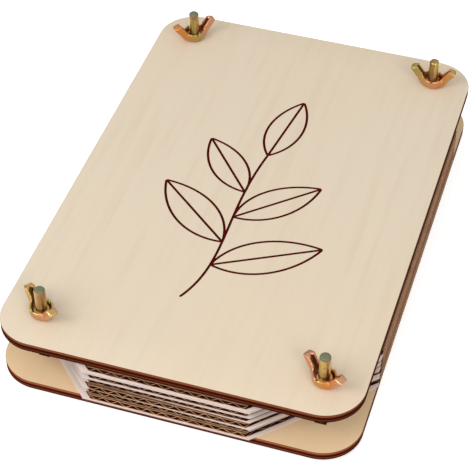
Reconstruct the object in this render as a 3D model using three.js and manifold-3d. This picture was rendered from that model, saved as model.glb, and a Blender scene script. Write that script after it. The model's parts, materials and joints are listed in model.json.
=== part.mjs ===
// A flower and leaf press: two plywood boards with rounded corners clamp a stack of corrugated cards
// and blotting sheets. Four carriage bolts stand through the corners, and four wing nuts draw the top
// board down. Millimetres, +Z up. The origin is at the middle of the surface that the press stands on,
// +X is the width and +Y the length. The bolt heads under the base board are its feet.

import * as THREE from 'three';
import { mergeVertices } from 'three/addons/utils/BufferGeometryUtils.js';
import Module from 'manifold-3d';

const wasm = await Module();
wasm.setup();

// Boards
const BOARD_WIDTH = 165;
const BOARD_LENGTH = 245;
const BOARD_THICKNESS = 4.5;
const CORNER_RADIUS = 18.5;
const HOLE_DIAMETER = 5.7;
const CORNER_STEPS = 8;

// Carriage bolts, M5 by 45, heads down
const BOLT_INSET = 18.5;
const BOLT_LENGTH = 45;
const THREAD_RADIUS = 2.45;
const BOLT_END_RADIUS = 0.9;
const BOLT_END_STEPS = 3;
const HEAD_RADIUS = 6.5;
const HEAD_HEIGHT = 3.3;
const HEAD_RIM = 0.8;
const FOOT_RADIUS = 2.4;
const DOME_STEPS = 6;
const NECK_SIDE = 5;
const NECK_LENGTH = 4;
const NECK_GAP = 0.3;
const ROUND_STEPS = 24;

// Stamped wing nuts: a cup with a threaded floor and two channel-shaped wings
const NUT_BORE_RADIUS = 2.54;
const CUP_RADIUS = 5.2;
const CUP_HEIGHT = 4.9;
const CUP_INNER_RADIUS = 4.1;
const CUP_FLOOR = 3.4;
const CUP_BOTTOM_RADIUS = 3.4;
const NUT_ARC_STEPS = 4;
const WING_WIDTH = 4.6;
const WING_DEPTH = 3.4;
const WING_RISE = THREE.MathUtils.degToRad(56.5);
const WING_TIP_X = 10.3;
const WING_TIP_Z = 10.6;
const WING_TIP_ROUNDING = 0.8;
const WING_ROOT_LAP = 0.4;
const POCKET_WIDTH = 2.4;
const POCKET_DEPTH = 2.3;
const POCKET_FROM_TIP = 1.2;
const POCKET_LENGTH = 5.6;
const CUT_MARGIN = 1;

// Stack of cards and sheets, all with cut-off corners that clear the bolts
const CARD_WIDTH = 166;
const CARD_LENGTH = 247;
const CARD_CORNER = 47.5;
const CARD_THICKNESS = 2.8;
const LINER_THICKNESS = 0.28;
const FLUTE_PITCH = 6.85;
const FLUTE_WEB = 0.6;
const SHEET_WIDTH = 166.8;
const SHEET_LENGTH = 247.8;
const SHEET_CORNER = 45.4;
const SHEET_THICKNESS = 0.25;

// Daylight left between pieces that lie on each other
const REST_GAP = 0.02;

// From the base board up: how many blotting sheets lie under each card
const SHEETS_UNDER_CARD = [1, 1, 2, 1, 2, 6];
// Where each card's first flute starts, as a share of the pitch
const FLUTE_PHASE = [0.15, 0.6, 0.35, 0.8, 0.05, 0.5];

// The bolt and nut places, with the way each nut's wings point at rest
const CORNERS = [
  { name: 'front_left', x: -1, y: -1, yaw: -32 },
  { name: 'front_right', x: 1, y: -1, yaw: -29 },
  { name: 'back_left', x: -1, y: 1, yaw: 43 },
  { name: 'back_right', x: 1, y: 1, yaw: 1 },
];

const BOLT_X = BOARD_WIDTH / 2 - BOLT_INSET;
const BOLT_Y = BOARD_LENGTH / 2 - BOLT_INSET;

const plywood = new THREE.MeshStandardMaterial({ color: 0xe3d0b4, roughness: 0.7, metalness: 0 });
const kraft = new THREE.MeshStandardMaterial({ color: 0xb48358, roughness: 0.9, metalness: 0 });
const blotting = new THREE.MeshStandardMaterial({ color: 0xe9e4ea, roughness: 0.9, metalness: 0 });
const boltZinc = new THREE.MeshStandardMaterial({ color: 0xb7a35a, roughness: 0.35, metalness: 1 });
const nutZinc = new THREE.MeshStandardMaterial({ color: 0xcc935c, roughness: 0.3, metalness: 1 });

// --- Solids ---------------------------------------------------------------------------------------

// A closed three.js geometry as a solid that can be joined and cut.
function toSolid(geometry) {
  const bare = geometry.index ? geometry.toNonIndexed() : geometry.clone();
  bare.deleteAttribute('normal');
  bare.deleteAttribute('uv');
  const merged = mergeVertices(bare, 1e-4);
  const vertProperties = new Float32Array(merged.attributes.position.array);
  const triVerts = new Uint32Array(merged.index.array);
  return new wasm.Manifold(new wasm.Mesh({ numProp: 3, vertProperties, triVerts }));
}

// The joined or cut solid as a geometry again.
function toGeometry(solid) {
  const mesh = solid.getMesh();
  const geometry = new THREE.BufferGeometry();
  geometry.setAttribute('position', new THREE.BufferAttribute(new Float32Array(mesh.vertProperties), 3));
  geometry.setIndex(new THREE.BufferAttribute(new Uint32Array(mesh.triVerts), 1));
  geometry.computeVertexNormals();
  return geometry;
}

// A flat outline pulled up from z = 0 to the height.
function prism(outline, height) {
  return new THREE.ExtrudeGeometry(outline, {
    depth: height,
    bevelEnabled: false,
    curveSegments: CORNER_STEPS,
  });
}

// A side view, drawn in X and Z, pulled along Y with its middle at y = 0.
function sidePrism(outline, width) {
  const geometry = prism(outline, width);
  geometry.rotateX(Math.PI / 2);
  geometry.translate(0, width / 2, 0);
  return geometry;
}

// A profile of [radius, height] points turned about the Z axis.
function turned(profile) {
  const points = profile.map(([radius, height]) => new THREE.Vector2(radius, height));
  const geometry = new THREE.LatheGeometry(points, ROUND_STEPS);
  geometry.rotateX(Math.PI / 2);
  return geometry;
}

// Points on a quarter turn or less, as [x, y] pairs, both ends included.
function arcPoints(centreX, centreY, radius, from, to, steps) {
  const points = [];
  for (let i = 0; i <= steps; i += 1) {
    const angle = from + ((to - from) * i) / steps;
    points.push([centreX + radius * Math.cos(angle), centreY + radius * Math.sin(angle)]);
  }
  return points;
}

// --- Boards ---------------------------------------------------------------------------------------

function boardOutline() {
  const x = BOARD_WIDTH / 2 - CORNER_RADIUS;
  const y = BOARD_LENGTH / 2 - CORNER_RADIUS;
  const outline = new THREE.Shape();
  outline.absarc(x, -y, CORNER_RADIUS, -Math.PI / 2, 0);
  outline.absarc(x, y, CORNER_RADIUS, 0, Math.PI / 2);
  outline.absarc(-x, y, CORNER_RADIUS, Math.PI / 2, Math.PI);
  outline.absarc(-x, -y, CORNER_RADIUS, Math.PI, 1.5 * Math.PI);
  for (const corner of CORNERS) {
    const hole = new THREE.Path();
    hole.absarc(corner.x * BOLT_X, corner.y * BOLT_Y, HOLE_DIAMETER / 2, 0, 2 * Math.PI, true);
    outline.holes.push(hole);
  }
  return outline;
}

function topBoard() {
  return prism(boardOutline(), BOARD_THICKNESS);
}

// The base board's holes are square on their lower side, where the bolts' necks grip.
function baseBoard() {
  let board = toSolid(prism(boardOutline(), BOARD_THICKNESS));
  const side = NECK_SIDE + 2 * NECK_GAP;
  const depth = NECK_LENGTH + NECK_GAP;
  for (const corner of CORNERS) {
    const socket = new THREE.BoxGeometry(side, side, 2 * depth);
    socket.translate(corner.x * BOLT_X, corner.y * BOLT_Y, 0);
    board = board.subtract(toSolid(socket));
  }
  return toGeometry(board);
}

// --- Bolts ----------------------------------------------------------------------------------------

// How far a ball of the head's dome falls away at a distance from its axis.
function domeDrop(radius) {
  const height = HEAD_HEIGHT - HEAD_RIM;
  const ball = (HEAD_RADIUS ** 2 + height ** 2) / (2 * height);
  return ball - Math.sqrt(ball ** 2 - radius ** 2);
}

// The dome from its flat foot out to the head's rim, as [radius, height] points.
function domePoints() {
  const points = [];
  const foot = domeDrop(FOOT_RADIUS);
  const scale = (HEAD_HEIGHT - HEAD_RIM) / (domeDrop(HEAD_RADIUS) - foot);
  for (let i = 0; i <= DOME_STEPS; i += 1) {
    const radius = FOOT_RADIUS + ((HEAD_RADIUS - FOOT_RADIUS) * i) / DOME_STEPS;
    points.push([radius, (domeDrop(radius) - foot) * scale]);
  }
  return points;
}

// A domed head with a small flat foot, a square neck and a round shank with an eased end.
function carriageBolt() {
  const underside = HEAD_HEIGHT - REST_GAP;
  const top = underside + BOLT_LENGTH;
  const ease = BOLT_END_RADIUS;
  const profile = [
    [0, 0],
    ...domePoints(),
    [HEAD_RADIUS, underside],
    [THREAD_RADIUS, underside],
    ...arcPoints(THREAD_RADIUS - ease, top - ease, ease, 0, Math.PI / 2, BOLT_END_STEPS),
    [0, top],
  ];
  const neck = new THREE.BoxGeometry(NECK_SIDE, NECK_SIDE, NECK_LENGTH);
  neck.translate(0, 0, underside + NECK_LENGTH / 2);
  return toGeometry(toSolid(turned(profile)).add(toSolid(neck)));
}

// --- Wing nuts ------------------------------------------------------------------------------------

// The cup's wall, with a threaded floor and a round lower edge.
function nutCup() {
  const edge = CUP_RADIUS - CUP_BOTTOM_RADIUS;
  const profile = [
    [NUT_BORE_RADIUS, 0],
    ...arcPoints(CUP_BOTTOM_RADIUS, edge, edge, -Math.PI / 2, 0, NUT_ARC_STEPS),
    [CUP_RADIUS, CUP_HEIGHT],
    [CUP_INNER_RADIUS, CUP_HEIGHT],
    [CUP_INNER_RADIUS, CUP_FLOOR],
    [NUT_BORE_RADIUS, CUP_FLOOR],
    [NUT_BORE_RADIUS, 0],
  ];
  return toSolid(turned(profile));
}

// A point of the right wing: how far back from the tip, and how far in from its middle line.
function wingPoint(back, inward) {
  const alongX = Math.cos(WING_RISE);
  const alongZ = Math.sin(WING_RISE);
  return [WING_TIP_X - back * alongX - inward * alongZ, WING_TIP_Z - back * alongZ + inward * alongX];
}

// The side view of the right wing: it leaves the cup's floor in a curve and rises to a round tip.
function wingOutline() {
  const half = WING_DEPTH / 2;
  const alongX = Math.cos(WING_RISE);
  const alongZ = Math.sin(WING_RISE);
  const [outerX, outerZ] = wingPoint(0, -half);
  const footX = outerX - (outerZ * alongX) / alongZ;
  const tangent = footX - CUP_BOTTOM_RADIUS;
  const radius = tangent / Math.tan(WING_RISE / 2);
  const down = -Math.PI / 2;
  const foot = arcPoints(CUP_BOTTOM_RADIUS, radius, radius, down, WING_RISE + down, NUT_ARC_STEPS);
  const corner = WING_TIP_ROUNDING;
  const [lowX, lowZ] = wingPoint(corner, corner - half);
  const [highX, highZ] = wingPoint(corner, half - corner);
  const lowTip = arcPoints(lowX, lowZ, corner, WING_RISE + down, WING_RISE, NUT_ARC_STEPS);
  const highTip = arcPoints(highX, highZ, corner, WING_RISE, WING_RISE - down, NUT_ARC_STEPS);
  const rim = [CUP_INNER_RADIUS + WING_ROOT_LAP / 2, CUP_HEIGHT - WING_ROOT_LAP];
  const root = [CUP_BOTTOM_RADIUS + WING_ROOT_LAP, CUP_FLOOR - WING_ROOT_LAP];
  const points = [...foot, ...lowTip, ...highTip, rim, root];
  return new THREE.Shape(points.map(([x, z]) => new THREE.Vector2(x, z)));
}

// The hollow of the right wing, open towards the bolt.
function pocketOutline() {
  const half = WING_DEPTH / 2;
  const floor = half - POCKET_DEPTH;
  const end = POCKET_FROM_TIP + POCKET_LENGTH;
  const points = [
    wingPoint(POCKET_FROM_TIP, floor),
    wingPoint(POCKET_FROM_TIP, half + CUT_MARGIN),
    wingPoint(end, half + CUT_MARGIN),
    wingPoint(end, floor),
  ];
  return new THREE.Shape(points.map(([x, z]) => new THREE.Vector2(x, z)));
}

// One wing, turned about the bolt's axis.
function wing(turn) {
  const body = sidePrism(wingOutline(), WING_WIDTH).rotateZ(turn);
  const pocket = sidePrism(pocketOutline(), POCKET_WIDTH).rotateZ(turn);
  return toSolid(body).subtract(toSolid(pocket));
}

function wingNut() {
  return toGeometry(nutCup().add(wing(0)).add(wing(Math.PI)));
}

// --- Cards and sheets -----------------------------------------------------------------------------

// A rectangle with its four corners cut off at 45 degrees.
function clippedOutline(width, length, corner) {
  const x = width / 2;
  const y = length / 2;
  return new THREE.Shape([
    new THREE.Vector2(-x + corner, -y),
    new THREE.Vector2(x - corner, -y),
    new THREE.Vector2(x, -y + corner),
    new THREE.Vector2(x, y - corner),
    new THREE.Vector2(x - corner, y),
    new THREE.Vector2(-x + corner, y),
    new THREE.Vector2(-x, y - corner),
    new THREE.Vector2(-x, -y + corner),
  ]);
}

// One tunnel of the fluting, from end to end of the card: a triangle standing on one liner.
function fluteTunnel(middle, onTopLiner) {
  const low = LINER_THICKNESS;
  const high = CARD_THICKNESS - LINER_THICKNESS;
  const foot = onTopLiner ? high : low;
  const tip = onTopLiner ? low : high;
  const half = FLUTE_PITCH / 2 - FLUTE_WEB;
  const length = CARD_LENGTH + 2 * CUT_MARGIN;
  const triangle = new THREE.Shape([
    new THREE.Vector2(middle - half, foot),
    new THREE.Vector2(middle + half, foot),
    new THREE.Vector2(middle, tip),
  ]);
  return toSolid(sidePrism(triangle, length));
}

// Two liners with the folded web between them: a plain slab with the tunnels taken out of it.
function corrugatedCard(phase) {
  let card = toSolid(prism(clippedOutline(CARD_WIDTH, CARD_LENGTH, CARD_CORNER), CARD_THICKNESS));
  const step = FLUTE_PITCH / 2;
  const reach = CARD_WIDTH / 2 - step;
  let onTopLiner = true;
  for (let middle = -CARD_WIDTH / 2 + step * (1 + phase); middle < reach; middle += step) {
    card = card.subtract(fluteTunnel(middle, onTopLiner));
    onTopLiner = !onTopLiner;
  }
  return toGeometry(card);
}

function blottingSheet() {
  return prism(clippedOutline(SHEET_WIDTH, SHEET_LENGTH, SHEET_CORNER), SHEET_THICKNESS);
}

// --- Assembly -------------------------------------------------------------------------------------

function place(parent, name, geometry, material, z) {
  const mesh = new THREE.Mesh(geometry, material);
  mesh.name = name;
  mesh.position.z = z;
  parent.add(mesh);
  return mesh;
}

// Fills the stack from the base board up, and gives the height of its top.
function buildStack(press, bottom) {
  const stack = new THREE.Group();
  press.add(stack);
  let level = bottom;
  let sheetNumber = 0;
  SHEETS_UNDER_CARD.forEach((sheets, index) => {
    for (let i = 0; i < sheets; i += 1) {
      sheetNumber += 1;
      const name = `sheet_${String(sheetNumber).padStart(2, '0')}`;
      place(stack, name, blottingSheet(), blotting, level);
      level += SHEET_THICKNESS + REST_GAP;
    }
    place(stack, `card_${index + 1}`, corrugatedCard(FLUTE_PHASE[index]), kraft, level);
    level += CARD_THICKNESS + REST_GAP;
  });
  return level;
}

function buildCorner(press, corner, nutLevel) {
  const post = new THREE.Group();
  post.position.set(corner.x * BOLT_X, corner.y * BOLT_Y, 0);
  press.add(post);
  place(post, `bolt_${corner.name}`, carriageBolt(), boltZinc, 0);
  const nut = place(post, `wing_nut_${corner.name}`, wingNut(), nutZinc, nutLevel);
  nut.rotation.z = THREE.MathUtils.degToRad(corner.yaw);
}

function buildPress() {
  const press = new THREE.Group();
  place(press, 'base_board', baseBoard(), plywood, HEAD_HEIGHT);
  const stackBottom = HEAD_HEIGHT + BOARD_THICKNESS + REST_GAP;
  const stackTop = buildStack(press, stackBottom);
  place(press, 'top_board', topBoard(), plywood, stackTop);
  const nutLevel = stackTop + BOARD_THICKNESS + REST_GAP;
  for (const corner of CORNERS) {
    buildCorner(press, corner, nutLevel);
  }
  return press;
}

export default buildPress();
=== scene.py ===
"""A flower and leaf press: two plywood boards, corrugated cards, blotting sheets, bolts and wing nuts."""

import json
import math

import bmesh
import bpy
import numpy as np
from bpy.props import FloatProperty, FloatVectorProperty, PointerProperty
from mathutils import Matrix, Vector


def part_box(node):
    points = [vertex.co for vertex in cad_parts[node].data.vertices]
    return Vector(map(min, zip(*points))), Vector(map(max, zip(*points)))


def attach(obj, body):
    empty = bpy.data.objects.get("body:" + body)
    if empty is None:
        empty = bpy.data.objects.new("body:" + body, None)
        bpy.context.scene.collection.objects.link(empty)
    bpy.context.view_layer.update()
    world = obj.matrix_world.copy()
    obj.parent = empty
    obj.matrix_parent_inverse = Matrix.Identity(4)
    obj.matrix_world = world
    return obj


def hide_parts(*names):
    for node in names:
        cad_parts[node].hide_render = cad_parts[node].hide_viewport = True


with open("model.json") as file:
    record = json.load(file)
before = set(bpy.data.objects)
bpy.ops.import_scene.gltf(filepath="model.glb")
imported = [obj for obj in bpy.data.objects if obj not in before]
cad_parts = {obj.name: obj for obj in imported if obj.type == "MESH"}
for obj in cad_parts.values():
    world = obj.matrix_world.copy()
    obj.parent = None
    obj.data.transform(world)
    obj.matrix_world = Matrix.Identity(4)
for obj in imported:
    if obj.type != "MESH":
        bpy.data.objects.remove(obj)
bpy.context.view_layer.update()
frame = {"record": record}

bl_info = {
    "name": "Flower Press",
    "version": (1, 0, 0),
    "blender": (4, 5, 0),
    "location": "View3D > Sidebar > Press",
    "description": "Dresses the packed frame of a flower and leaf press",
    "category": "Object",
}

MM = 0.001
CORNERS = ("front_left", "front_right", "back_left", "back_right")
CARDS = tuple(f"card_{number}" for number in range(1, 7))
SHEETS = tuple(f"sheet_{number:02d}" for number in range(1, 14))
BODY_OF = {
    node: body
    for body, nodes in frame["record"]["behaviour"]["bodies"].items()
    for node in nodes
}


def linear(red, green, blue):
    """A display colour of 0 to 255 as the linear colour that Blender works in."""
    shares = np.array([red, green, blue]) / 255
    low = shares / 12.92
    high = ((shares + 0.055) / 1.055) ** 2.4
    return tuple(float(v) for v in np.where(shares <= 0.04045, low, high))


def box_mm(node):
    """Lowest and highest corner of a packed node, in millimetres."""
    low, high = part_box(node)
    return np.array(low) / MM, np.array(high) / MM


# --- What a user would change ------------------------------------------------------------------------


def length(name, description, default_mm):
    """A length property, stored in metres."""
    return FloatProperty(
        name=name,
        description=description,
        default=default_mm * MM,
        min=0.0,
        precision=5,
        subtype="DISTANCE",
        unit="LENGTH",
    )


def colour(name, description, *shares):
    """A colour property, given as a display colour of 0 to 255."""
    return FloatVectorProperty(
        name=name,
        description=description,
        default=linear(*shares),
        min=0.0,
        max=1.0,
        size=3,
        subtype="COLOR",
    )


class PressBoardSettings(bpy.types.PropertyGroup):
    """The two plywood boards and the engraving."""

    corner_radius: length("Corner radius", "Radius of the boards' round corners", 18.5)
    edge_round: length("Edge rounding", "Rounding of the boards' sharp edges", 0.22)
    ply_crown: length("Ply crown", "How far the glue lines are burnt back", 0.1)
    hole: length("Bolt hole", "Diameter of the top board's bolt holes", 5.7)
    socket: length("Neck socket", "Width of the base board's square sockets", 5.4)
    line_width: length("Line width", "Width of the engraved lines", 1.25)
    line_depth: length("Line depth", "Depth of the engraved lines", 0.4)
    face: colour("Face veneer", "Bare face of the plywood", 220, 205, 183)
    inner_face: colour("Inner face", "Face of the base board", 229, 198, 158)
    grain: colour("Grain", "Darker streaks of the veneer", 202, 181, 154)


class PressHardwareSettings(bpy.types.PropertyGroup):
    """The bolts and wing nuts."""

    thread_pitch: length("Thread pitch", "Rise of the thread in one turn", 0.8)
    thread_depth: length("Thread depth", "Depth of the thread", 0.16)
    sheet_metal: length("Nut sheet", "Thickness of the wing nuts' sheet metal", 1.1)
    gold: colour("Gold zinc", "Main colour of the yellow zinc plating", 214, 174, 112)
    copper: colour("Copper zinc", "Pink tint of the plating", 224, 166, 132)
    orange: colour("Orange zinc", "Orange tint of the plating", 224, 154, 92)
    olive: colour("Olive zinc", "Green tint of the plating", 188, 170, 104)
    bolt_gold: colour("Bolt plating", "Plating of the bolts", 206, 182, 106)
    bolt_brown: colour("Bolt tarnish", "Browner plating of the bolts", 172, 128, 86)
    cut_end: colour("Bolt end", "Matte end of the bolts", 140, 142, 112)


class PressStackSettings(bpy.types.PropertyGroup):
    """The corrugated cards and the blotting sheets."""

    card_corner: length("Card corner", "Length cut off each corner of a card", 47.5)
    sheet_corner: length("Sheet corner", "Length cut off each corner of a sheet", 45.4)
    flute_pitch: length("Flute pitch", "Distance between two flutes", 6.85)
    liner: length("Liner", "Thickness of a card's flat liners", 0.2)
    flute_paper: length("Flute paper", "Thickness of a card's fluted paper", 0.24)
    kraft: colour("Kraft card", "Brown card", 222, 172, 132)
    kraft_dark: colour("Kraft fibres", "Darker fibres of the card", 138, 82, 44)
    # Painted shade: the dark colour laid on the cards wherever they are not cut.
    flute_dark: colour("Flute inside", "Dark inside of the flutes", 54, 18, 2)
    paper: colour("Blotting paper", "White blotting paper", 240, 223, 215)


class PressStageSettings(bpy.types.PropertyGroup):
    """The camera, the floor and the light."""

    camera_place: FloatVectorProperty(
        name="Camera place",
        description="Where the camera stands",
        default=(0.1602, -0.5299, 0.5449),
        size=3,
        subtype="TRANSLATION",
        unit="LENGTH",
    )
    camera_turn: FloatProperty(
        name="Camera turn",
        description="Turn of the view about the vertical",
        default=math.radians(17.65),
        subtype="ANGLE",
        unit="ROTATION",
    )
    camera_drop: FloatProperty(
        name="Camera drop",
        description="How far the view looks down",
        default=math.radians(44.39),
        subtype="ANGLE",
        unit="ROTATION",
    )
    lens: FloatProperty(
        name="Lens",
        description="Focal length of the lens in millimetres",
        default=121.8,
        min=10.0,
    )
    floor: colour("Floor", "Plain pale floor", 250, 250, 250)
    floor_glow: FloatProperty(
        name="Floor glow",
        description="Light from under the floor, as on a light table",
        default=0.5,
        min=0.0,
    )


# --- Surfaces ------------------------------------------------------------------------------------------


def ease(value, low, high):
    """0 below low, 1 above high, with the smooth cubic 3t^2 - 2t^3 between them."""
    share = np.clip((value - low) / (high - low), 0, 1)
    return share * share * (3 - 2 * share)


def smooth_curve(knots, values, at):
    """Cubic pieces through the values at the knots, each with the slope of its neighbours' chord."""
    knots = np.asarray(knots, float)
    values = np.asarray(values, float)
    slopes = np.gradient(values, knots, axis=0)
    piece = np.clip(np.searchsorted(knots, at, side="right") - 1, 0, len(knots) - 2)
    span = (knots[piece + 1] - knots[piece])[:, None]
    t = (at - knots[piece])[:, None] / span
    return (
        (2 * t**3 - 3 * t**2 + 1) * values[piece]
        + (t**3 - 2 * t**2 + t) * span * slopes[piece]
        + (3 * t**2 - 2 * t**3) * values[piece + 1]
        + (t**3 - t**2) * span * slopes[piece + 1]
    )


def wander(count, knots, amount, random):
    """A smooth random line of count values within about plus and minus amount."""
    heights = random.uniform(-amount, amount, (knots, 1))
    return smooth_curve(np.linspace(0, 1, knots), heights, np.linspace(0, 1, count))[:, 0]


def grid_faces(rows, columns, loop_rows=False, loop_columns=False):
    """Quads between neighbouring points of a grid that is stored row by row."""
    row = np.arange(rows if loop_rows else rows - 1)
    column = np.arange(columns if loop_columns else columns - 1)
    r, c = np.meshgrid(row, column, indexing="ij")
    down, right = (r + 1) % rows, (c + 1) % columns
    corners = [r * columns + c, down * columns + c, down * columns + right, r * columns + right]
    return np.stack(corners, axis=-1).reshape(-1, 4)


def tube(points):
    """A shell from a grid of closed loops, rows x columns x 3, with one flat face at each end."""
    rows, columns = points.shape[:2]
    first = np.arange(columns)[None]
    quads = grid_faces(rows, columns, loop_columns=True)
    return points.reshape(-1, 3), quads, first, first + (rows - 1) * columns


def make_piece(name, shells, material, crease=30):
    """An object from closed shells: points in millimetres, then arrays of faces by their points' numbers.

    Edges sharper than crease stay sharp.
    """
    points, faces, start = [], [], 0
    for shell_points, *shell_faces in shells:
        points.append(shell_points)
        for alike in shell_faces:
            faces += (start + alike).tolist()
        start += len(shell_points)
    mesh = bpy.data.meshes.new(name)
    mesh.from_pydata((np.concatenate(points) * MM).tolist(), [], faces)
    piece = bpy.data.objects.new(name, mesh)
    bpy.context.scene.collection.objects.link(piece)
    tidy_mesh(piece.data, crease)
    mesh.materials.append(material)
    return piece


def tidy_mesh(mesh, crease):
    """Closes seams and poles, turns the faces outwards and marks the sharp edges."""
    work = bmesh.new()
    work.from_mesh(mesh)
    bmesh.ops.remove_doubles(work, verts=work.verts, dist=0.0005 * MM)
    bmesh.ops.dissolve_degenerate(work, edges=work.edges, dist=0.0002 * MM)
    bmesh.ops.recalc_face_normals(work, faces=work.faces)
    work.to_mesh(mesh)
    work.free()
    mesh.shade_smooth()
    mesh.set_sharp_from_angle(angle=math.radians(crease))


def carve(piece, tools, operation, crease):
    """Cuts the tools' solids out of the piece, or joins them to it, and removes the tools."""
    for tool in tools:
        boolean = piece.modifiers.new(tool.name, "BOOLEAN")
        boolean.solver = "MANIFOLD"
        boolean.operation = operation
        boolean.object = tool
    graph = bpy.context.evaluated_depsgraph_get()
    carved = bpy.data.meshes.new_from_object(piece.evaluated_get(graph), depsgraph=graph)
    if len(carved.vertices) == len(piece.data.vertices):
        raise RuntimeError(f"nothing was carved on {piece.name}")
    piece.modifiers.clear()
    before = piece.data
    piece.data = carved
    bpy.data.meshes.remove(before)
    for tool in tools:
        shape = tool.data
        bpy.data.objects.remove(tool)
        bpy.data.meshes.remove(shape)
    tidy_mesh(carved, crease)


def place_piece(piece, node):
    """Lets a piece stand for a packed node and ride on that node's body."""
    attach(piece, BODY_OF[node])
    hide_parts(node)


# --- Finishes ------------------------------------------------------------------------------------------


class Field:
    """A shader socket. Arithmetic on it adds Math nodes."""

    def __init__(self, finish, socket):
        self.finish = finish
        self.socket = socket

    def math(self, operation, *values):
        return self.finish.node("ShaderNodeMath", {"operation": operation}, dict(enumerate(values)))

    def __add__(self, other):
        return self.math("ADD", self, other)

    def __sub__(self, other):
        return self.math("SUBTRACT", self, other)

    def __rsub__(self, other):
        return self.math("SUBTRACT", other, self)

    def __mul__(self, other):
        return self.math("MULTIPLY", self, other)

    def __abs__(self):
        return self.math("ABSOLUTE", self)

    __radd__ = __add__
    __rmul__ = __mul__


class Finish:
    """One material: its Principled shader and the nodes that feed it."""

    def __init__(self, name, **constants):
        self.material = bpy.data.materials.new(name)
        self.material.use_nodes = True
        self.tree = self.material.node_tree
        self.shader = self.tree.nodes["Principled BSDF"]
        for socket, value in constants.items():
            self.feed(self.shader, socket.replace("_", " "), value)
        self.place = self.node("ShaderNodeTexCoord", output="Object")

    def feed(self, node, socket, value):
        """Links a field to a socket, or sets its value."""
        target = node.inputs[socket]
        if isinstance(value, Field):
            self.tree.links.new(value.socket, target)
        elif target.type == "RGBA":
            target.default_value = (*value, 1.0)
        else:
            target.default_value = value

    def node(self, kind, settings=None, inputs=None, output=0):
        """A node of any type. Settings come first, then its sockets. Stops are a ramp's colours."""
        made = self.tree.nodes.new(kind)
        for setting, value in (settings or {}).items():
            if setting == "stops":
                set_stops(made.color_ramp, value)
            else:
                setattr(made, setting, value)
        for socket, value in (inputs or {}).items():
            self.feed(made, socket, value)
        return Field(self, made.outputs[output])

    def part(self, vector, letter):
        """One coordinate of a vector."""
        return self.node("ShaderNodeSeparateXYZ", inputs={"Vector": vector}, output=letter)

    def axis(self, letter):
        """One coordinate of the place, in metres."""
        return self.part(self.place, letter)

    def moved(self, scale=(1, 1, 1), centre=(0, 0, 0), turn=0.0):
        """The place with its centre moved to zero, turned back about the vertical and scaled."""
        settings = {"vector_type": "TEXTURE"}
        inputs = {"Vector": self.place, "Location": centre, "Rotation": (0, 0, turn)}
        local = self.node("ShaderNodeMapping", settings, inputs)
        return self.node("ShaderNodeVectorMath", {"operation": "MULTIPLY"}, {0: local, 1: scale})

    def noise(self, scale, detail=2.0, rough=0.5, **where):
        """Cloudy noise of about 0 to 1. Scale is features per metre along each axis."""
        vector = self.moved(scale, **where)
        inputs = {"Vector": vector, "Scale": 1.0, "Detail": detail, "Roughness": rough}
        return self.node("ShaderNodeTexNoise", inputs=inputs)

    def step(self, value, low, high):
        """0 below low, 1 above high, smooth between them."""
        inputs = {"Value": value, "From Min": low, "From Max": high}
        return self.node("ShaderNodeMapRange", {"interpolation_type": "SMOOTHSTEP"}, inputs)

    def mix(self, share, first, second):
        """The first colour where share is 0 and the second where it is 1."""
        return self.node("ShaderNodeMix", {"data_type": "RGBA"}, {0: share, 6: first, 7: second}, 2)

    def ramp(self, value, stops):
        """A colour from the value by stops of (place, colour)."""
        return self.node("ShaderNodeValToRGB", {"stops": stops}, {"Fac": value})

    def bump(self, height, strength, distance):
        """A normal from a height field."""
        inputs = {"Height": height, "Strength": strength, "Distance": distance}
        return self.node("ShaderNodeBump", inputs=inputs)

    def set(self, socket, value):
        self.feed(self.shader, socket, value)


def set_stops(ramp, stops):
    """Gives a colour ramp its stops of (place, colour)."""
    while len(ramp.elements) < len(stops):
        ramp.elements.new(1.0)
    for element, (place, shade) in zip(ramp.elements, stops):
        element.position = place
        element.color = (*shade, 1.0)


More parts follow.
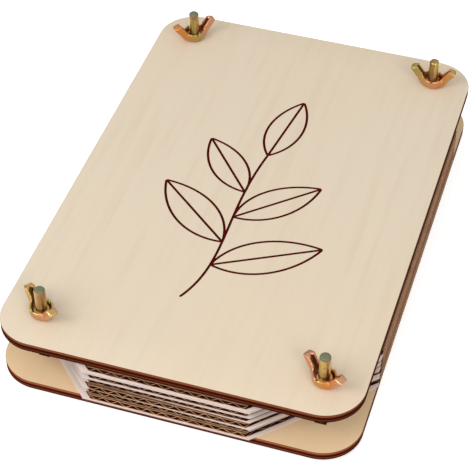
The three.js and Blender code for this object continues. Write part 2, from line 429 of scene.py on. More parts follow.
def plywood_finish(name, board, face, edge_painted_light):
    """Pale veneer on both faces, laser-burnt plies and glue lines on everything cut into them. The burnt
    colours are scaled by a painted-light factor, which paints the base board's edges lighter.
    """
    settings = bpy.context.scene.press_board
    low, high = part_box(board)
    thickness = high.z - low.z
    finish = Finish(name, Roughness=0.62, Specular_IOR_Level=0.0)
    depth = high.z - finish.axis("Z")
    below_top = finish.step(depth, 0.02 * MM, 0.06 * MM)
    above_bottom = 1 - finish.step(depth, thickness - 0.11 * MM, thickness - 0.03 * MM)
    burnt = below_top * above_bottom

    streaks = finish.noise((260, 14, 260), 4.0, 0.6)
    cloud = finish.noise((9, 5, 9), 2.0)
    pores = finish.noise((2600, 160, 2600), 2.0)
    veneer = finish.mix(finish.step(streaks, 0.42, 0.8) * 0.24, face, tuple(settings.grain))
    veneer = finish.mix(finish.step(cloud, 0.35, 0.75) * 0.16, veneer, tuple(settings.inner_face))
    veneer = finish.mix(finish.step(pores, 0.62, 0.78) * 0.12, veneer, tuple(settings.grain))

    scorch = finish.noise((420, 420, 900), 3.0, 0.6)
    along = finish.noise((60, 60, 1500), 2.0)
    level = depth * (1 / thickness) + (scorch - 0.5) * 0.05 + (along - 0.5) * 0.04
    plies = (
        (0.0, (128, 72, 40)),
        (0.08, (140, 80, 46)),
        (0.14, (160, 94, 64)),
        (0.24, (160, 94, 64)),
        (0.34, (112, 50, 28)),
        (0.42, (62, 14, 2)),
        (0.52, (58, 12, 2)),
        (0.6, (80, 28, 12)),
        (0.68, (110, 54, 36)),
        (0.77, (110, 54, 36)),
        (0.87, (64, 20, 8)),
        (0.94, (46, 10, 2)),
        (1.0, (52, 16, 6)),
    )
    # Painted light: the ply colours are scaled up for a board whose edges are painted lighter.
    shades = [(place, tuple(edge_painted_light * v for v in linear(*shade))) for place, shade in plies]
    edge = finish.ramp(level, shades)
    x, y = finish.axis("X"), finish.axis("Y")
    engraved = 1 - finish.step(abs(x), 0.68 * high.x, 0.7 * high.x)
    engraved = engraved * (1 - finish.step(abs(y), 0.73 * high.y, 0.75 * high.y))
    edge = finish.mix(engraved, edge, tuple(edge_painted_light * v for v in linear(78, 14, 9)))
    finish.set("Base Color", finish.mix(burnt, veneer, edge))
    finish.set("Roughness", 0.62 - burnt * 0.14)
    relief = streaks * 0.5 + pores * 0.5 + scorch * burnt * 2.0
    finish.set("Normal", finish.bump(relief, 0.25, 0.05 * MM))
    return finish.material


def kraft_finish():
    """Brown card with fibres and flecks, its own colour at the cut ends and painted shade elsewhere:
    inside the flutes, on its faces, on cards set further back and at its cut corners.
    """
    settings = bpy.context.scene.press_stack
    finish = Finish("kraft_card", Roughness=0.9, Specular_IOR_Level=0.03)
    fibres = finish.noise((900, 160, 1800), 4.0, 0.65)
    flecks = finish.noise((2400, 2400, 2400), 2.0)
    cut = finish.node("ShaderNodeAttribute", {"attribute_name": "cut"}, output="Fac")
    kraft, dark = tuple(settings.kraft), tuple(settings.kraft_dark)
    shade = finish.mix(finish.step(fibres, 0.4, 0.75) * 0.4, kraft, dark)
    shade = finish.mix(finish.step(flecks, 0.6, 0.75) * 0.3, shade, dark)
    # Painted shade: the cut attribute mixes in the dark flute colour everywhere but at the cut ends.
    shade = finish.mix(cut, tuple(settings.flute_dark), shade)
    finish.set("Base Color", shade)
    finish.set("Normal", finish.bump(fibres + flecks, 0.35, 0.06 * MM))
    return finish.material


def paper_finish():
    """Soft white blotting paper with a felted surface."""
    settings = bpy.context.scene.press_stack
    finish = Finish("blotting_paper", Roughness=0.92, Specular_IOR_Level=0.1)
    felt = finish.noise((1400, 1400, 1400), 3.0, 0.6)
    cloud = finish.noise((120, 120, 900), 2.0)
    white = tuple(settings.paper)
    grey = tuple(v * 0.86 for v in white)
    finish.set("Base Color", finish.mix(finish.step(cloud, 0.35, 0.7) * 0.5, white, grey))
    finish.set("Normal", finish.bump(felt, 0.3, 0.05 * MM))
    return finish.material


def nut_finish(corner, centre, turn, tints):
    """Yellow zinc plating on sheet metal. The tints run from one wing's tip over the hub to the other,
    and painted shade darkens the upward-facing insides of the wings' troughs.
    """
    finish = Finish(f"nut_zinc_{corner}", Metallic=1.0, Roughness=0.28)
    local = finish.moved(centre=centre, turn=turn)
    across = finish.part(local, "X")
    cloud = finish.noise((260, 260, 260), 3.0, 0.6)
    fine = finish.noise((1800, 1800, 1800), 2.0)
    level = across * (0.5 / (12 * MM)) + 0.5 + (cloud - 0.5) * 0.5
    places = np.linspace(0.1, 0.9, len(tints))
    shade = finish.ramp(level, list(zip(places, tints)))
    worn = tuple(0.62 * v for v in tints[len(tints) // 2])
    shade = finish.mix(finish.step(fine, 0.55, 0.8) * 0.35, shade, worn)

    # Painted shade: the wings' troughs, facing up near the middle line and below the tips, are made
    # nearly black.
    upward = finish.part(finish.node("ShaderNodeNewGeometry", output="Normal"), "Z")
    sideways, height = finish.part(local, "Y"), finish.part(local, "Z")
    painted_trough_shade = 1 - finish.step(abs(sideways), 0.7 * MM, 1.15 * MM)
    painted_trough_shade = painted_trough_shade * finish.step(upward, 0.1, 0.35) * (1 - finish.step(height, 8.2 * MM, 9.0 * MM))
    finish.set("Base Color", finish.mix(painted_trough_shade * 0.8, shade, tuple(0.12 * v for v in worn)))
    finish.set("Roughness", 0.24 + fine * 0.16)
    finish.set("Normal", finish.bump(fine * 0.4 + cloud, 0.12, 0.08 * MM))
    return finish.material


def bolt_finish(top):
    """Gold plating on the thread, a dull greenish end and painted shade on the shank lower down, under
    the top board.
    """
    settings = bpy.context.scene.press_hardware
    finish = Finish("bolt_zinc", Metallic=1.0, Roughness=0.3)
    height = finish.axis("Z")
    cloud = finish.noise((180, 180, 120), 3.0, 0.6)
    fine = finish.noise((2600, 2600, 2600), 2.0)
    gold, brown = tuple(settings.bolt_gold), tuple(settings.bolt_brown)
    shade = finish.mix(finish.step(cloud, 0.35, 0.65), gold, brown)
    # Painted shade: the shank darkens below the top board.
    painted_shank_shade = 1 - finish.step(height, top - 22 * MM, top - 16 * MM)
    shade = finish.mix(painted_shank_shade * 0.85, shade, tuple(0.25 * v for v in brown))
    end = finish.step(height, top - 0.75 * MM, top - 0.3 * MM)
    dull = finish.mix(fine, tuple(settings.cut_end), tuple(0.42 * v for v in settings.cut_end))
    finish.set("Base Color", finish.mix(end, shade, dull))
    finish.set("Metallic", 1 - end * 0.6)
    finish.set("Roughness", 0.26 + end * 0.34 + fine * 0.1)
    finish.set("Normal", finish.bump(fine, 0.15, 0.05 * MM))
    return finish.material


# --- Boards --------------------------------------------------------------------------------------------


def rounded_outline(half_x, half_y, radius, spacing=2.5, arc_steps=20):
    """Points and outward normals once round a rectangle with round corners.

    Each corner is a quarter circle about a centre set in by the radius, and the sides between
    them are cut into equal steps of about the spacing.
    """
    points, normals = [], []
    for number, (sx, sy) in enumerate(((1, 1), (-1, 1), (-1, -1), (1, -1))):
        angle = np.linspace(0, math.pi / 2, arc_steps + 1) + number * math.pi / 2
        normal = np.column_stack([np.cos(angle), np.sin(angle)])
        arc = normal * radius + (sx * (half_x - radius), sy * (half_y - radius))
        run = 2 * ((half_y if number % 2 else half_x) - radius)
        steps = max(2, round(run / spacing))
        ahead = np.array([-math.sin(angle[-1]), math.cos(angle[-1])])
        side = arc[-1] + ahead * (run * np.arange(1, steps) / steps)[:, None]
        points += [arc, side]
        normals += [normal, np.repeat(normal[-1:], len(side), axis=0)]
    return np.concatenate(points), np.concatenate(normals)


def board_shell(node):
    """A plywood board.

    The edge's section is carried round the outline: at height share t its inset is the ply crown times
    one minus the root of |sin(3 pi t)|, so that each of three plies stands out between the glue lines,
    and within the edge rounding it follows a quarter circle.
    """
    settings = bpy.context.scene.press_board
    low, high = box_mm(node)
    half_x, half_y = (high - low)[:2] / 2
    thickness = high[2] - low[2]
    rounding, crown = settings.edge_round / MM, settings.ply_crown / MM
    outline, normals = rounded_outline(half_x, half_y, settings.corner_radius / MM)
    middle = np.linspace(rounding, thickness - rounding, 37)
    ends = rounding * (1 - np.cos(np.linspace(0, math.pi / 2, 5)[:-1]))
    height = np.concatenate([ends, middle, thickness - ends[::-1]])
    inset = crown * (1 - np.sqrt(np.abs(np.sin(3 * math.pi * height / thickness))))
    inset *= ease(np.minimum(height, thickness - height), rounding, 3 * rounding)
    near = np.clip(rounding - np.minimum(height, thickness - height), 0, rounding)
    inset += rounding - np.sqrt(rounding**2 - near**2)
    rings = outline[None] - normals[None] * inset[:, None, None]
    points = np.empty((len(height), len(outline), 3))
    points[..., :2] = rings + (low + high)[None, None, :2] / 2
    points[..., 2] = low[2] + height[:, None]
    return tube(points)


def round_bar(centre, radius, low, high, sides=64):
    """A straight round bar along Z: circles about the centre at the two heights."""
    angle = np.linspace(0, 2 * math.pi, sides, endpoint=False)
    ring = np.column_stack([centre[0] + radius * np.cos(angle), centre[1] + radius * np.sin(angle)])
    points = np.empty((2, sides, 3))
    points[..., :2] = ring
    points[..., 2] = np.array([low, high])[:, None]
    return tube(points)


# The sprig: its stem as a cubic Bezier curve from the board's middle, and for each leaf its share of the
# way up the stem, its lean from upright in degrees, its length and its width, in millimetres.
STEM = ((-10.0, -76.0), (4.0, -50.0), (-8.0, -20.0), (0.0, 26.0))
LEAVES = (
    (0.28, 62, 52, 20),
    (0.45, -50, 50, 20),
    (0.62, 48, 46, 18),
    (0.78, -40, 42, 17),
    (1.0, 8, 44, 17),
)


def bezier(line, t):
    """Points of a cubic Bezier curve: its two ends and two handles weighted by the cubic's terms."""
    start, first, second, end = np.array(line)
    curve = (1 - t) ** 3 * start + 3 * (1 - t) ** 2 * t * first
    return curve + 3 * (1 - t) * t**2 * second + t**3 * end


def sprig_lines():
    """The lines of a plain sprig: a stem with leaves in turn on its two sides and one at its end.

    A leaf's two edges run from its foot to its tip, with handles at a quarter and two thirds of its
    length, out to either side by two thirds of its width. Its midrib is the same line, straight.
    """
    lines = [STEM]
    for share, lean, long, wide in LEAVES:
        foot = bezier(STEM, share)
        ahead = np.array([math.sin(math.radians(lean)), math.cos(math.radians(lean))])
        out = np.array([ahead[1], -ahead[0]]) * wide * 2 / 3
        for side in (-1, 0, 1):
            handles = [foot + ahead * long * way + out * side for way in (0.25, 0.67)]
            lines.append((foot, *handles, foot + ahead * long))
    return lines


def groove(line, top, width, depth, steps=56, end_steps=6):
    """The solid that cuts one engraved line.

    A section with a rounded floor is carried along a cubic Bezier curve. Its half-width falls to
    nothing at both ends as the sine of an angle whose cosine gives the way left, so the ends are round.
    """
    curve = bezier(line, np.linspace(0, 1, 400)[:, None])
    run = np.concatenate([[0], np.cumsum(np.hypot(*np.diff(curve, axis=0).T))])
    half = width / 2
    turn = np.linspace(0, math.pi / 2, end_steps + 1)
    lead = half * (1 - np.cos(turn))
    middle = np.linspace(half, run[-1] - half, steps)[1:-1]
    stations = np.concatenate([lead, middle, run[-1] - lead[::-1]])
    spread = np.concatenate([np.sin(turn), np.ones(len(middle)), np.sin(turn)[::-1]]) * half
    x = np.interp(stations, run, curve[:, 0])
    y = np.interp(stations, run, curve[:, 1])
    ahead = np.gradient(np.column_stack([x, y]), stations, axis=0)
    ahead /= np.hypot(*ahead.T)[:, None]
    right = np.array([(1, 0.5), (1, 0), (0.85, -0.7), (0.5, -1)])
    section = np.concatenate([right, right[::-1] * (-1, 1)])
    across = spread[:, None] * section[None, :, 0]
    points = np.empty((len(stations), len(section), 3))
    points[..., 0] = x[:, None] - ahead[:, 1:] * across
    points[..., 1] = y[:, None] + ahead[:, :1] * across
    points[..., 2] = top + section[None, :, 1] * depth
    return tube(points)


class PRESS_OT_boards(bpy.types.Operator):
    """Make the two plywood boards, with the engraved sprig on the upper one"""

    bl_idname = "press.boards"
    bl_label = "Boards"

    def execute(self, context):
        settings = context.scene.press_board
        self.make_base(settings)
        self.make_top(settings)
        return {"FINISHED"}

    def make_base(self, settings):
        # Painted light: the base board's burnt edges are painted 1.35 times lighter than the top board's.
        finish = plywood_finish("plywood_base", "base_board", tuple(settings.inner_face), 1.35)
        board = make_piece("base_board_ply", [board_shell("base_board")], finish, crease=12)
        low, high = box_mm("base_board")
        tools = []
        for corner in CORNERS:
            centre = bolt_centre(corner)
            half = settings.socket / MM / 2
            bar = round_bar(centre, half * math.sqrt(2), low[2] - 1, high[2] + 1, sides=4)
            bar[0][:, :2] = turned(bar[0][:, :2], centre, math.pi / 4)
            tools.append(make_piece(f"socket_{corner}", [bar], finish))
        carve(board, tools, "DIFFERENCE", 12)
        place_piece(board, "base_board")

    def make_top(self, settings):
        finish = plywood_finish("plywood_top", "top_board", tuple(settings.face), 1.0)
        board = make_piece("top_board_ply", [board_shell("top_board")], finish, crease=12)
        low, high = box_mm("top_board")
        tools = []
        for corner in CORNERS:
            bar = round_bar(bolt_centre(corner), settings.hole / MM / 2, low[2] - 1, high[2] + 1)
            tools.append(make_piece(f"hole_{corner}", [bar], finish))
        for number, line in enumerate(sprig_lines()):
            cut = groove(line, high[2], settings.line_width / MM, settings.line_depth / MM)
            tools.append(make_piece(f"line_{number}", [cut], finish))
        carve(board, tools, "DIFFERENCE", 12)
        place_piece(board, "top_board")


# --- Bolts and wing nuts -------------------------------------------------------------------------------

# How far each wing nut happens to be turned, in degrees, how much higher than drawn each bolt ends, in
# millimetres, and the tints along each nut.
NUT_TURNS = {"front_left": -36, "front_right": -31, "back_left": 43, "back_right": 1}
BOLT_RISES = {"front_left": 0.3, "front_right": 1.0, "back_left": 0.4, "back_right": -0.6}
NUT_TINTS = {
    "front_left": ("gold", "gold", "olive", "copper", "gold"),
    "front_right": ("copper", "copper", "gold", "orange", "copper"),
    "back_left": ("orange", "orange", "olive", "copper", "copper"),
    "back_right": ("olive", "gold", "copper", "orange", "gold"),
}


def bolt_centre(corner):
    """The axis of a bolt in plan, in millimetres."""
    low, high = box_mm(f"bolt_{corner}")
    return (low[:2] + high[:2]) / 2


def turned(points, centre, angle):
    """Points in plan turned about the centre."""
    c, s = math.cos(angle), math.sin(angle)
    return (points - centre) @ np.array([[c, s], [-s, c]]) + centre


def bolt_shell(corner, pitch, depth, sides=48, thread_step=0.1):
    """A carriage bolt as one surface: its radius is a function of height and angle.

    The head is a low dome that ends in a short rim. The neck's radius is half its width over the larger
    of |cos| and |sin|, a square. On the thread the radius falls from the crest by the depth times a
    clipped triangle wave of height over pitch minus angle over a full turn, which rises right-handed.
    The end is rounded by a quarter circle.
    """
    head_radius, head_height, rim, foot = 6.5, 3.3, 0.8, 2.4
    neck_half, neck_top, crest, end_round = 2.5, 7.3, 2.52, 1.3
    low, high = box_mm(f"bolt_{corner}")
    top = high[2] - low[2] + BOLT_RISES[corner]
    angle = np.linspace(0, 2 * math.pi, sides, endpoint=False)

    bend = np.linspace(0, math.pi / 2, 14)
    dome_radius = foot + (head_radius - foot) * np.sin(bend)
    dome_height = (head_height - rim) * (1 - np.cos(bend))
    head_z = np.concatenate([[0], dome_height, [head_height - 0.15, head_height]])
    head_r = np.concatenate([[0], dome_radius, [head_radius, head_radius - 0.15]])
    head = np.repeat(head_r[:, None], sides, axis=1)

    square = neck_half / np.maximum(np.abs(np.cos(angle)), np.abs(np.sin(angle)))
    square = np.minimum(square, neck_half * 1.36)
    neck_z = np.array([head_height, neck_top - 0.3, neck_top])
    neck = np.stack([square, square, np.full(sides, crest - depth)])

    thread_z = np.arange(neck_top + thread_step, top - 0.02, thread_step)
    phase = (thread_z[:, None] / pitch - angle[None] / (2 * math.pi)) % 1
    wave = np.clip(np.abs(2 * phase - 1) * 1.25 - 0.125, 0, 1)
    thread = crest - depth * wave
    into_end = np.clip(thread_z - (top - end_round), 0, end_round)
    limit = crest - end_round + np.sqrt(end_round**2 - into_end**2)
    thread = np.minimum(thread, limit[:, None])

    cap_z = np.array([top, top])
    cap = np.stack([np.full(sides, crest - end_round), np.zeros(sides)])
    z = np.concatenate([head_z, neck_z, thread_z, cap_z])
    radius = np.concatenate([head, neck, thread, cap])
    points = np.empty((len(z), sides, 3))
    centre = bolt_centre(corner)
    points[..., 0] = centre[0] + radius * np.cos(angle)
    points[..., 1] = centre[1] + radius * np.sin(angle)
    points[..., 2] = low[2] + z[:, None]
    return points.reshape(-1, 3), grid_faces(len(z), sides, loop_columns=True)


class PRESS_OT_bolts(bpy.types.Operator):
    """Make the four carriage bolts with their threads"""

    bl_idname = "press.bolts"
    bl_label = "Bolts"

    def execute(self, context):
        settings = context.scene.press_hardware
        finish = bolt_finish(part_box("bolt_front_left")[1].z)
        pitch, depth = settings.thread_pitch / MM, settings.thread_depth / MM
        for corner in CORNERS:
            node = f"bolt_{corner}"
            bolt = make_piece(f"{node}_threaded", [bolt_shell(corner, pitch, depth)], finish, crease=40)
            place_piece(bolt, node)
        return {"FINISHED"}


# The right half of a wing nut in side view, at stations from the bolt's axis to the wing's tip:
# station, outside of the sheet, its inside and the rim, each as (out from the axis, up), in millimetres.
NUT_SIDE = (
    (0.00, (0.0, 0.0), (0.0, 1.1), (0.0, 4.6)),
    (0.12, (1.9, 0.0), (1.8, 1.1), (1.9, 4.6)),
    (0.24, (3.6, 0.1), (3.3, 1.2), (3.5, 4.6)),
    (0.34, (5.1, 0.8), (4.5, 1.7), (4.4, 4.8)),
    (0.44, (6.5, 2.0), (5.6, 2.7), (4.9, 5.4)),
    (0.56, (7.9, 4.0), (7.0, 4.6), (5.6, 6.6)),
    (0.7, (9.6, 6.2), (8.6, 6.8), (6.8, 8.0)),
    (0.8, (10.8, 7.8), (9.4, 7.9), (7.7, 9.2)),
    (0.88, (11.5, 8.9), (9.8, 8.5), (8.2, 9.9)),
    (0.94, (11.2, 9.6), (9.5, 9.1), (8.5, 10.2)),
    (1.0, (9.2, 10.6), (8.5, 9.8), (9.2, 10.6)),
)


def nut_shell(hub_radius=5.3, wing_half=2.2, sheet=1.1, half_rows=70, section_steps=17, rim_steps=5):
    """A stamped wing nut's sheet: a cup with a trough-shaped wing on each side, as one closed surface.

    One parameter runs from wing tip to wing tip and the other round the sheet's section. The section
    is a U: across it goes as a power of the sine of an angle and up it as one minus a power of
    the cosine, from the outside line to the rim line. Its half-width is the cup's circle where that
    is wider than the wing, joined by an eighth-power mean, and closes round the tip. The inside is the
    same with the sheet's thickness off, and the rim joins them by a half circle.
    """
    t = np.linspace(0, 1, half_rows)
    knots = [row[0] for row in NUT_SIDE]
    outside = smooth_curve(knots, [row[1] for row in NUT_SIDE], t)
    inside = smooth_curve(knots, [row[2] for row in NUT_SIDE], t)
    rim = smooth_curve(knots, [row[3] for row in NUT_SIDE], t)
    rim_inside = rim + (inside[-1] - rim[-1]) * ease(t, 0.75, 1)[:, None]
    cup = np.sqrt(np.clip(hub_radius**2 - rim[:, 0] ** 2, 0, None))
    half_width = (cup**8 + wing_half**8) ** (1 / 8)
    half_inside = half_width - sheet
    half_width = half_width * (1 - ease(t, 0.86, 1.0001) ** 3) ** 0.4
    half_inside = half_inside * (1 - ease(t, 0.84, 1.0001) ** 3) ** 0.4
    half_width[-1] = half_inside[-1] = 0
    power = 2 / (4.4 + 0.8 * ease(t, 0.2, 0.5))

    bend = np.linspace(-math.pi / 2, math.pi / 2, 2 * section_steps - 1)
    sine, cosine = np.sin(bend)[None], np.cos(bend)[None]
    across = np.sign(sine) * np.abs(sine) ** power[:, None]
    up = 1 - np.clip(cosine, 0, 1) ** power[:, None]
    notch = 0.3 * np.clip(1 - rim[:, 0] / 0.8, 0, 1)[:, None] * (np.abs(across) > 0.5)
    up = up * (1 - notch)

    def sheet_points(line, edge, half):
        place = line[:, None] + (edge - line)[:, None] * up[..., None]
        return np.stack([place[..., 0], half[:, None] * across, place[..., 1]], axis=-1)

    outer = sheet_points(outside, rim, half_width)
    inner = sheet_points(inside, rim_inside, half_inside)
    seam = 0.2 * np.exp(-((outer[..., 0] / 0.25) ** 2)) * np.sign(across)
    outer[..., 1] -= seam

    def rim_points(side):
        first, last = (outer[:, -1], inner[:, -1]) if side > 0 else (inner[:, 0], outer[:, 0])
        middle, reach = (first + last) / 2, (first - last) / 2
        rise = np.zeros_like(first)
        rise[:, [0, 2]] = rim - outside
        rise /= np.maximum(np.linalg.norm(rise, axis=1), 1e-9)[:, None]
        tall = np.linalg.norm(reach, axis=1)[:, None] * 0.8
        turn = np.linspace(0, math.pi, rim_steps + 2)[1:-1]
        arcs = [middle + reach * math.cos(a) + rise * tall * math.sin(a) for a in turn]
        return np.stack(arcs, axis=1)

    half = np.concatenate([outer, rim_points(1), inner[:, ::-1], rim_points(-1)], axis=1)
    mirror = half[:0:-1].copy()
    mirror[..., 0] *= -1
    points = np.concatenate([mirror, half])
    rows, columns = points.shape[:2]
    return points.reshape(-1, 3), grid_faces(rows, columns, loop_columns=True)


def collar_shell(bore, outer, low, high, sides=64):
    """The nut's threaded collar: a rectangle with eased corners carried once round the axis."""
    ease_by = 0.3
    profile = np.array(
        [
            (bore, low),
            (outer, low),
            (outer, high - ease_by),
            (outer - ease_by, high),
            (bore + ease_by, high),
            (bore, high - ease_by),
        ]
    )
    angle = np.linspace(0, 2 * math.pi, sides, endpoint=False)
    points = np.empty((sides, len(profile), 3))
    points[..., 0] = profile[None, :, 0] * np.cos(angle)[:, None]
    points[..., 1] = profile[None, :, 0] * np.sin(angle)[:, None]
    points[..., 2] = profile[None, :, 1]
    return points.reshape(-1, 3), grid_faces(sides, len(profile), True, True)


class PRESS_OT_wing_nuts(bpy.types.Operator):
    """Make the four stamped wing nuts"""

    bl_idname = "press.wing_nuts"
    bl_label = "Wing nuts"

    def execute(self, context):
        settings = context.scene.press_hardware
        sheet = settings.sheet_metal / MM
        bore, collar, floor = 2.54, 3.75, 3.4
        for corner in CORNERS:
            node = f"wing_nut_{corner}"
            turn = math.radians(NUT_TURNS[corner])
            base = box_mm(node)[0][2]
            centre = np.append(bolt_centre(corner), base)
            tints = [tuple(getattr(settings, tint)) for tint in NUT_TINTS[corner]]
            finish = nut_finish(corner, Vector(centre * MM), turn, tints)

            def placed(shell):
                points, *faces = shell
                points = np.column_stack([turned(points[:, :2], np.zeros(2), turn), points[:, 2]])
                return points + centre, *faces

            nut = make_piece(f"{node}_stamped", [placed(nut_shell(sheet=sheet))], finish, crease=50)
            ring = placed(collar_shell(bore - 0.3, collar, 0.2, floor))
            carve(nut, [make_piece(f"collar_{corner}", [ring], finish)], "UNION", 50)
            bar = placed(round_bar((0, 0), bore, -1, floor + 1))
            carve(nut, [make_piece(f"bore_{corner}", [bar], finish)], "DIFFERENCE", 50)
            place_piece(nut, node)
        return {"FINISHED"}


# --- Cards and sheets ----------------------------------------------------------------------------------

# How far each card and sheet was pushed in from its packed place, to the left and to the back, and the
# slope of the front edge of the sheets that are cut askew.
PUSHED_IN = {
    "sheet_01": (0.5, -0.75),
    "card_1": (-0.1, -0.35),
    "sheet_02": (0.7, 1.6),
    "card_2": (0.1, 0.25),
    "sheet_03": (0.6, 0.05),
    "sheet_04": (0.8, 0.1),
    "card_3": (-0.2, -0.35),
    "sheet_05": (0.7, 1.1),
    "card_4": (0.0, 0.75),
    "sheet_06": (0.8, 0.55),
    "sheet_07": (0.6, 0.5),
    "card_5": (-0.2, 0.7),
    "sheet_08": (0.6, 0.4),
    "sheet_09": (0.8, 0.5),
    "sheet_10": (0.5, 0.45),
    "sheet_11": (0.7, 0.5),
    "sheet_12": (0.6, 0.4),
    "sheet_13": (0.8, 0.55),
    "card_6": (0.0, 0.7),
}
ASKEW = {"sheet_03": -0.0115, "sheet_04": -0.0115, "sheet_05": -0.011}
FLUTE_STARTS = dict(zip(CARDS, (0.15, 0.6, 0.35, 0.8, 0.05, 0.5)))


def pushed_box(node):
    """The box of a card or sheet where it lies, in millimetres."""
    left, back = PUSHED_IN[node]
    low, high = box_mm(node)
    return low + (-left, back, 0), high + (-left, back, 0)


def clipped_sides(x, low, high, corner):
    """Front and back of a rectangle with its corners cut off at 45 degrees, at each x.

    The side lies in from the rectangle's by the corner's length less the way to the nearer end.
    """
    into = np.minimum(x - low[0], high[0] - x)
    cut = np.clip(corner - into, 0, None)
    return low[1] + cut, high[1] - cut


def slab_shell(x, front, back, low, high, inward=(0, 0.25, 2.0)):
    """A thin slab: at each x a loop that runs from front to back on top and returns below.

    Its points lie the inward distances from either end. Low and high are heights over x.
    """
    inward = np.array(inward)
    y = np.concatenate([front[:, None] + inward, back[:, None] - inward[::-1]], axis=1)
    points = np.empty((len(x), 2 * y.shape[1], 3))
    points[..., 0] = x[:, None]
    points[..., 1] = np.concatenate([y, y[:, ::-1]], axis=1)
    points[:, : y.shape[1], 2] = high[:, None]
    points[:, y.shape[1] :, 2] = low[:, None]
    return tube(points)


def card_shells(node, settings, random):
    """A corrugated card: two liners and between them a paper wave, cos(u) + cos(3u) / 12 over its pitch.

    The wave's paper is thickened by the root of one plus its slope squared, so it stays even. The cut
    ends wander by a tenth of a millimetre, and the liners follow the wave by a thirtieth.
    """
    low, high = pushed_box(node)
    liner, paper = settings.liner / MM, settings.flute_paper / MM
    pitch, corner = settings.flute_pitch / MM, settings.card_corner / MM
    x = np.linspace(low[0], high[0], round((high[0] - low[0]) / pitch * 24))
    u = 2 * math.pi * ((x - low[0]) / pitch + FLUTE_STARTS[node])
    front, back = clipped_sides(x, low, high, corner)

    def cut_ends():
        return front + wander(len(x), 70, 0.1, random), back + wander(len(x), 70, 0.1, random)

    wash = 0.03 * np.cos(u)
    middle = (low[2] + high[2]) / 2
    swing = (high[2] - low[2]) / 2 - liner - paper / 2 + 0.02
    wave = middle + swing * (np.cos(u) + np.cos(3 * u) / 12) / (1 + 1 / 12)
    slope = np.gradient(wave, x)
    thick = paper / 2 * np.sqrt(1 + slope**2)
    return [
        slab_shell(x, *cut_ends(), low[2] + 0 * x, low[2] + liner + wash),
        slab_shell(x, *cut_ends(), wave - thick, wave + thick),
        slab_shell(x, *cut_ends(), high[2] - liner + wash, high[2] + 0 * x),
    ]


def paint_card_shade(card, node, settings):
    """Stores an attribute for painted shade: 1 at the card's cut ends, falling to 0, full painted shade,
    inside the flutes; at least 0.22 on its faces; lower on cards set further back and at the cut corners.
    """
    low, high = pushed_box(node)
    places = np.empty(len(card.data.vertices) * 3)
    card.data.vertices.foreach_get("co", places)
    places = places.reshape(-1, 3) / MM
    front, back = clipped_sides(places[:, 0], low, high, settings.card_corner / MM)
    inside = np.minimum(places[:, 1] - front, back - places[:, 1])
    side = np.minimum(places[:, 0] - low[0], high[0] - places[:, 0])
    share = 1 - ease(np.minimum(inside, side), 0.03, 0.22)
    # Painted shade: cards set further back are darker at the front.
    share *= 1 - 0.45 * max(PUSHED_IN[node][1], 0) * (front < low[1] + 1)
    # Painted shade: the cut corners, under the sheets' overhang, are darker.
    share *= np.where((front > low[1] + 1) & (inside < side), 0.35, 1)
    # Painted shade: the card's faces keep only a little of the pale colour.
    outside = (places[:, 2] < low[2] + 0.02) | (places[:, 2] > high[2] - 0.02)
    share = np.where(outside, np.maximum(share, 0.22), share)
    card.data.attributes.new("cut", "FLOAT", "POINT").data.foreach_set("value", share.astype(np.float32))


def sheet_shell(node, settings, random):
    """A blotting sheet: a clipped slab, turned by a tenth of a degree at most."""
    low, high = pushed_box(node)
    corner = settings.sheet_corner / MM
    x = np.linspace(low[0], high[0], 84)
    x = np.unique(np.concatenate([x, [low[0] + corner, high[0] - corner]]))
    front, back = clipped_sides(x, low, high, corner)
    front = front + ASKEW.get(node, 0) * x
    points, *faces = slab_shell(x, front, back, low[2] + 0 * x, high[2] + 0 * x)
    turn = random.uniform(-0.0015, 0.0015)
    points[:, :2] = turned(points[:, :2], np.zeros(2), turn)
    return points, *faces


class PRESS_OT_cards(bpy.types.Operator):
    """Make the six corrugated cards"""

    bl_idname = "press.cards"
    bl_label = "Cards"

    def execute(self, context):
        finish = kraft_finish()
        random = np.random.default_rng(7)
        settings = context.scene.press_stack
        for node in CARDS:
            card = make_piece(f"{node}_fluted", card_shells(node, settings, random), finish)
            paint_card_shade(card, node, settings)
            place_piece(card, node)
        return {"FINISHED"}


class PRESS_OT_sheets(bpy.types.Operator):
    """Make the thirteen blotting sheets"""

    bl_idname = "press.sheets"
    bl_label = "Blotting sheets"

    def execute(self, context):
        finish = paper_finish()
        random = np.random.default_rng(11)
        for node in SHEETS:
            shell = sheet_shell(node, context.scene.press_stack, random)
            place_piece(make_piece(f"{node}_cut", [shell], finish), node)
        return {"FINISHED"}


# --- Stage ---------------------------------------------------------------------------------------------


def aim(thing, place, target):
    """Stands a light at a place and points it at a target."""
    thing.location = place
    thing.rotation_euler = (Vector(target) - Vector(place)).to_track_quat("-Z", "Y").to_euler()


def add_panel_light(name, place, size, watts):
    """A square soft light aimed at the press."""
    light = bpy.data.lights.new(name, "AREA")
    light.shape = "SQUARE"
    light.size = size
    light.energy = watts
    lamp = bpy.data.objects.new(name, light)
    bpy.context.scene.collection.objects.link(lamp)
    aim(lamp, place, (0, 0, 0.02))


def add_camera(settings):
    """The camera at its place, looking down along its turn and drop."""
    camera = bpy.data.cameras.new("press_camera")
    camera.lens = settings.lens
    camera.sensor_width = 36
    camera.clip_start, camera.clip_end = 0.01, 20
    holder = bpy.data.objects.new("press_camera", camera)
    bpy.context.scene.collection.objects.link(holder)
    flat = math.cos(settings.camera_drop)
    ahead = Vector(
        (
            -math.sin(settings.camera_turn) * flat,
            math.cos(settings.camera_turn) * flat,
            -math.sin(settings.camera_drop),
        )
    )
    holder.rotation_euler = ahead.to_track_quat("-Z", "Y").to_euler()
    holder.location = settings.camera_place
    bpy.context.scene.camera = holder


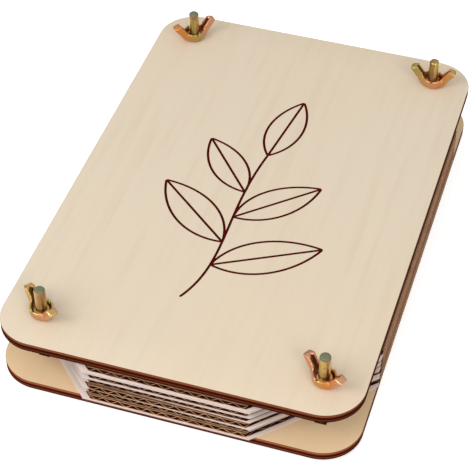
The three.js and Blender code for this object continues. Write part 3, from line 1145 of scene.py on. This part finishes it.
def add_sky():
    """A white studio above, greyer towards the horizon and much darker from below."""
    world = bpy.data.worlds.new("studio")
    world.use_nodes = True
    bpy.context.scene.world = world
    tree = world.node_tree
    back = tree.nodes["Background"]
    place = tree.nodes.new("ShaderNodeTexCoord")
    height = tree.nodes.new("ShaderNodeSeparateXYZ")
    ramp = tree.nodes.new("ShaderNodeValToRGB")
    stops = (
        (0.0, (0.18, 0.17, 0.16)),
        (0.12, (0.3, 0.29, 0.28)),
        (0.34, (0.75, 0.75, 0.75)),
        (0.6, (1, 1, 1)),
    )
    set_stops(ramp.color_ramp, stops)
    tree.links.new(place.outputs["Generated"], height.inputs[0])
    tree.links.new(height.outputs["Z"], ramp.inputs["Fac"])
    tree.links.new(ramp.outputs["Color"], back.inputs["Color"])
    back.inputs["Strength"].default_value = 0.72


def add_floor(settings):
    """A wide floor, cut into a grid, with a faint mottle."""
    pale = tuple(settings.floor)
    finish = Finish("floor", Roughness=0.9, Emission_Color=pale, Emission_Strength=settings.floor_glow)
    mottle = finish.noise((3, 3, 3), 2.0)
    finish.set("Base Color", finish.mix(mottle, pale, tuple(0.985 * v for v in pale)))
    side = np.linspace(-4000, 4000, 9)
    x, y = np.meshgrid(side, side, indexing="ij")
    points = np.stack([x, y, 0 * x], axis=-1).reshape(-1, 3)
    mesh = bpy.data.meshes.new("floor")
    mesh.from_pydata((points * MM).tolist(), [], grid_faces(9, 9).tolist())
    mesh.materials.append(finish.material)
    floor = bpy.data.objects.new("floor", mesh)
    bpy.context.scene.collection.objects.link(floor)
    floor.visible_diffuse = False


class PRESS_OT_stage(bpy.types.Operator):
    """Set up the floor, the soft light and the camera"""

    bl_idname = "press.stage"
    bl_label = "Stage"

    def execute(self, context):
        settings = context.scene.press_stage
        context.scene.view_settings.view_transform = "Standard"
        add_camera(settings)
        add_sky()
        add_floor(settings)
        add_panel_light("left_panel", (-0.7, -0.9, 0.9), 0.8, 9.5)
        add_panel_light("right_panel", (0.9, -1.0, 0.9), 0.8, 7.5)
        return {"FINISHED"}


# --- Panel and run -------------------------------------------------------------------------------------

OPERATORS = (
    PRESS_OT_boards,
    PRESS_OT_bolts,
    PRESS_OT_wing_nuts,
    PRESS_OT_cards,
    PRESS_OT_sheets,
    PRESS_OT_stage,
)
SETTINGS = {
    "press_board": PressBoardSettings,
    "press_hardware": PressHardwareSettings,
    "press_stack": PressStackSettings,
    "press_stage": PressStageSettings,
}


class PRESS_PT_panel(bpy.types.Panel):
    """Settings and steps of the flower press"""

    bl_label = "Flower Press"
    bl_idname = "PRESS_PT_panel"
    bl_space_type = "VIEW_3D"
    bl_region_type = "UI"
    bl_category = "Press"

    def draw(self, context):
        for attribute, group in SETTINGS.items():
            box = self.layout.box()
            box.label(text=group.__doc__)
            for name in group.__annotations__:
                box.prop(getattr(context.scene, attribute), name)
        for operator in OPERATORS:
            self.layout.operator(operator.bl_idname)


def register():
    for group in SETTINGS.values():
        bpy.utils.register_class(group)
    for attribute, group in SETTINGS.items():
        setattr(bpy.types.Scene, attribute, PointerProperty(type=group))
    for made in (*OPERATORS, PRESS_PT_panel):
        bpy.utils.register_class(made)


def unregister():
    for made in (PRESS_PT_panel, *reversed(OPERATORS)):
        bpy.utils.unregister_class(made)
    for attribute, group in reversed(SETTINGS.items()):
        delattr(bpy.types.Scene, attribute)
        bpy.utils.unregister_class(group)


def main():
    register()
    bpy.ops.press.boards()
    bpy.ops.press.bolts()
    bpy.ops.press.wing_nuts()
    bpy.ops.press.cards()
    bpy.ops.press.sheets()
    bpy.ops.press.stage()


if __name__ == "__main__":
    main()
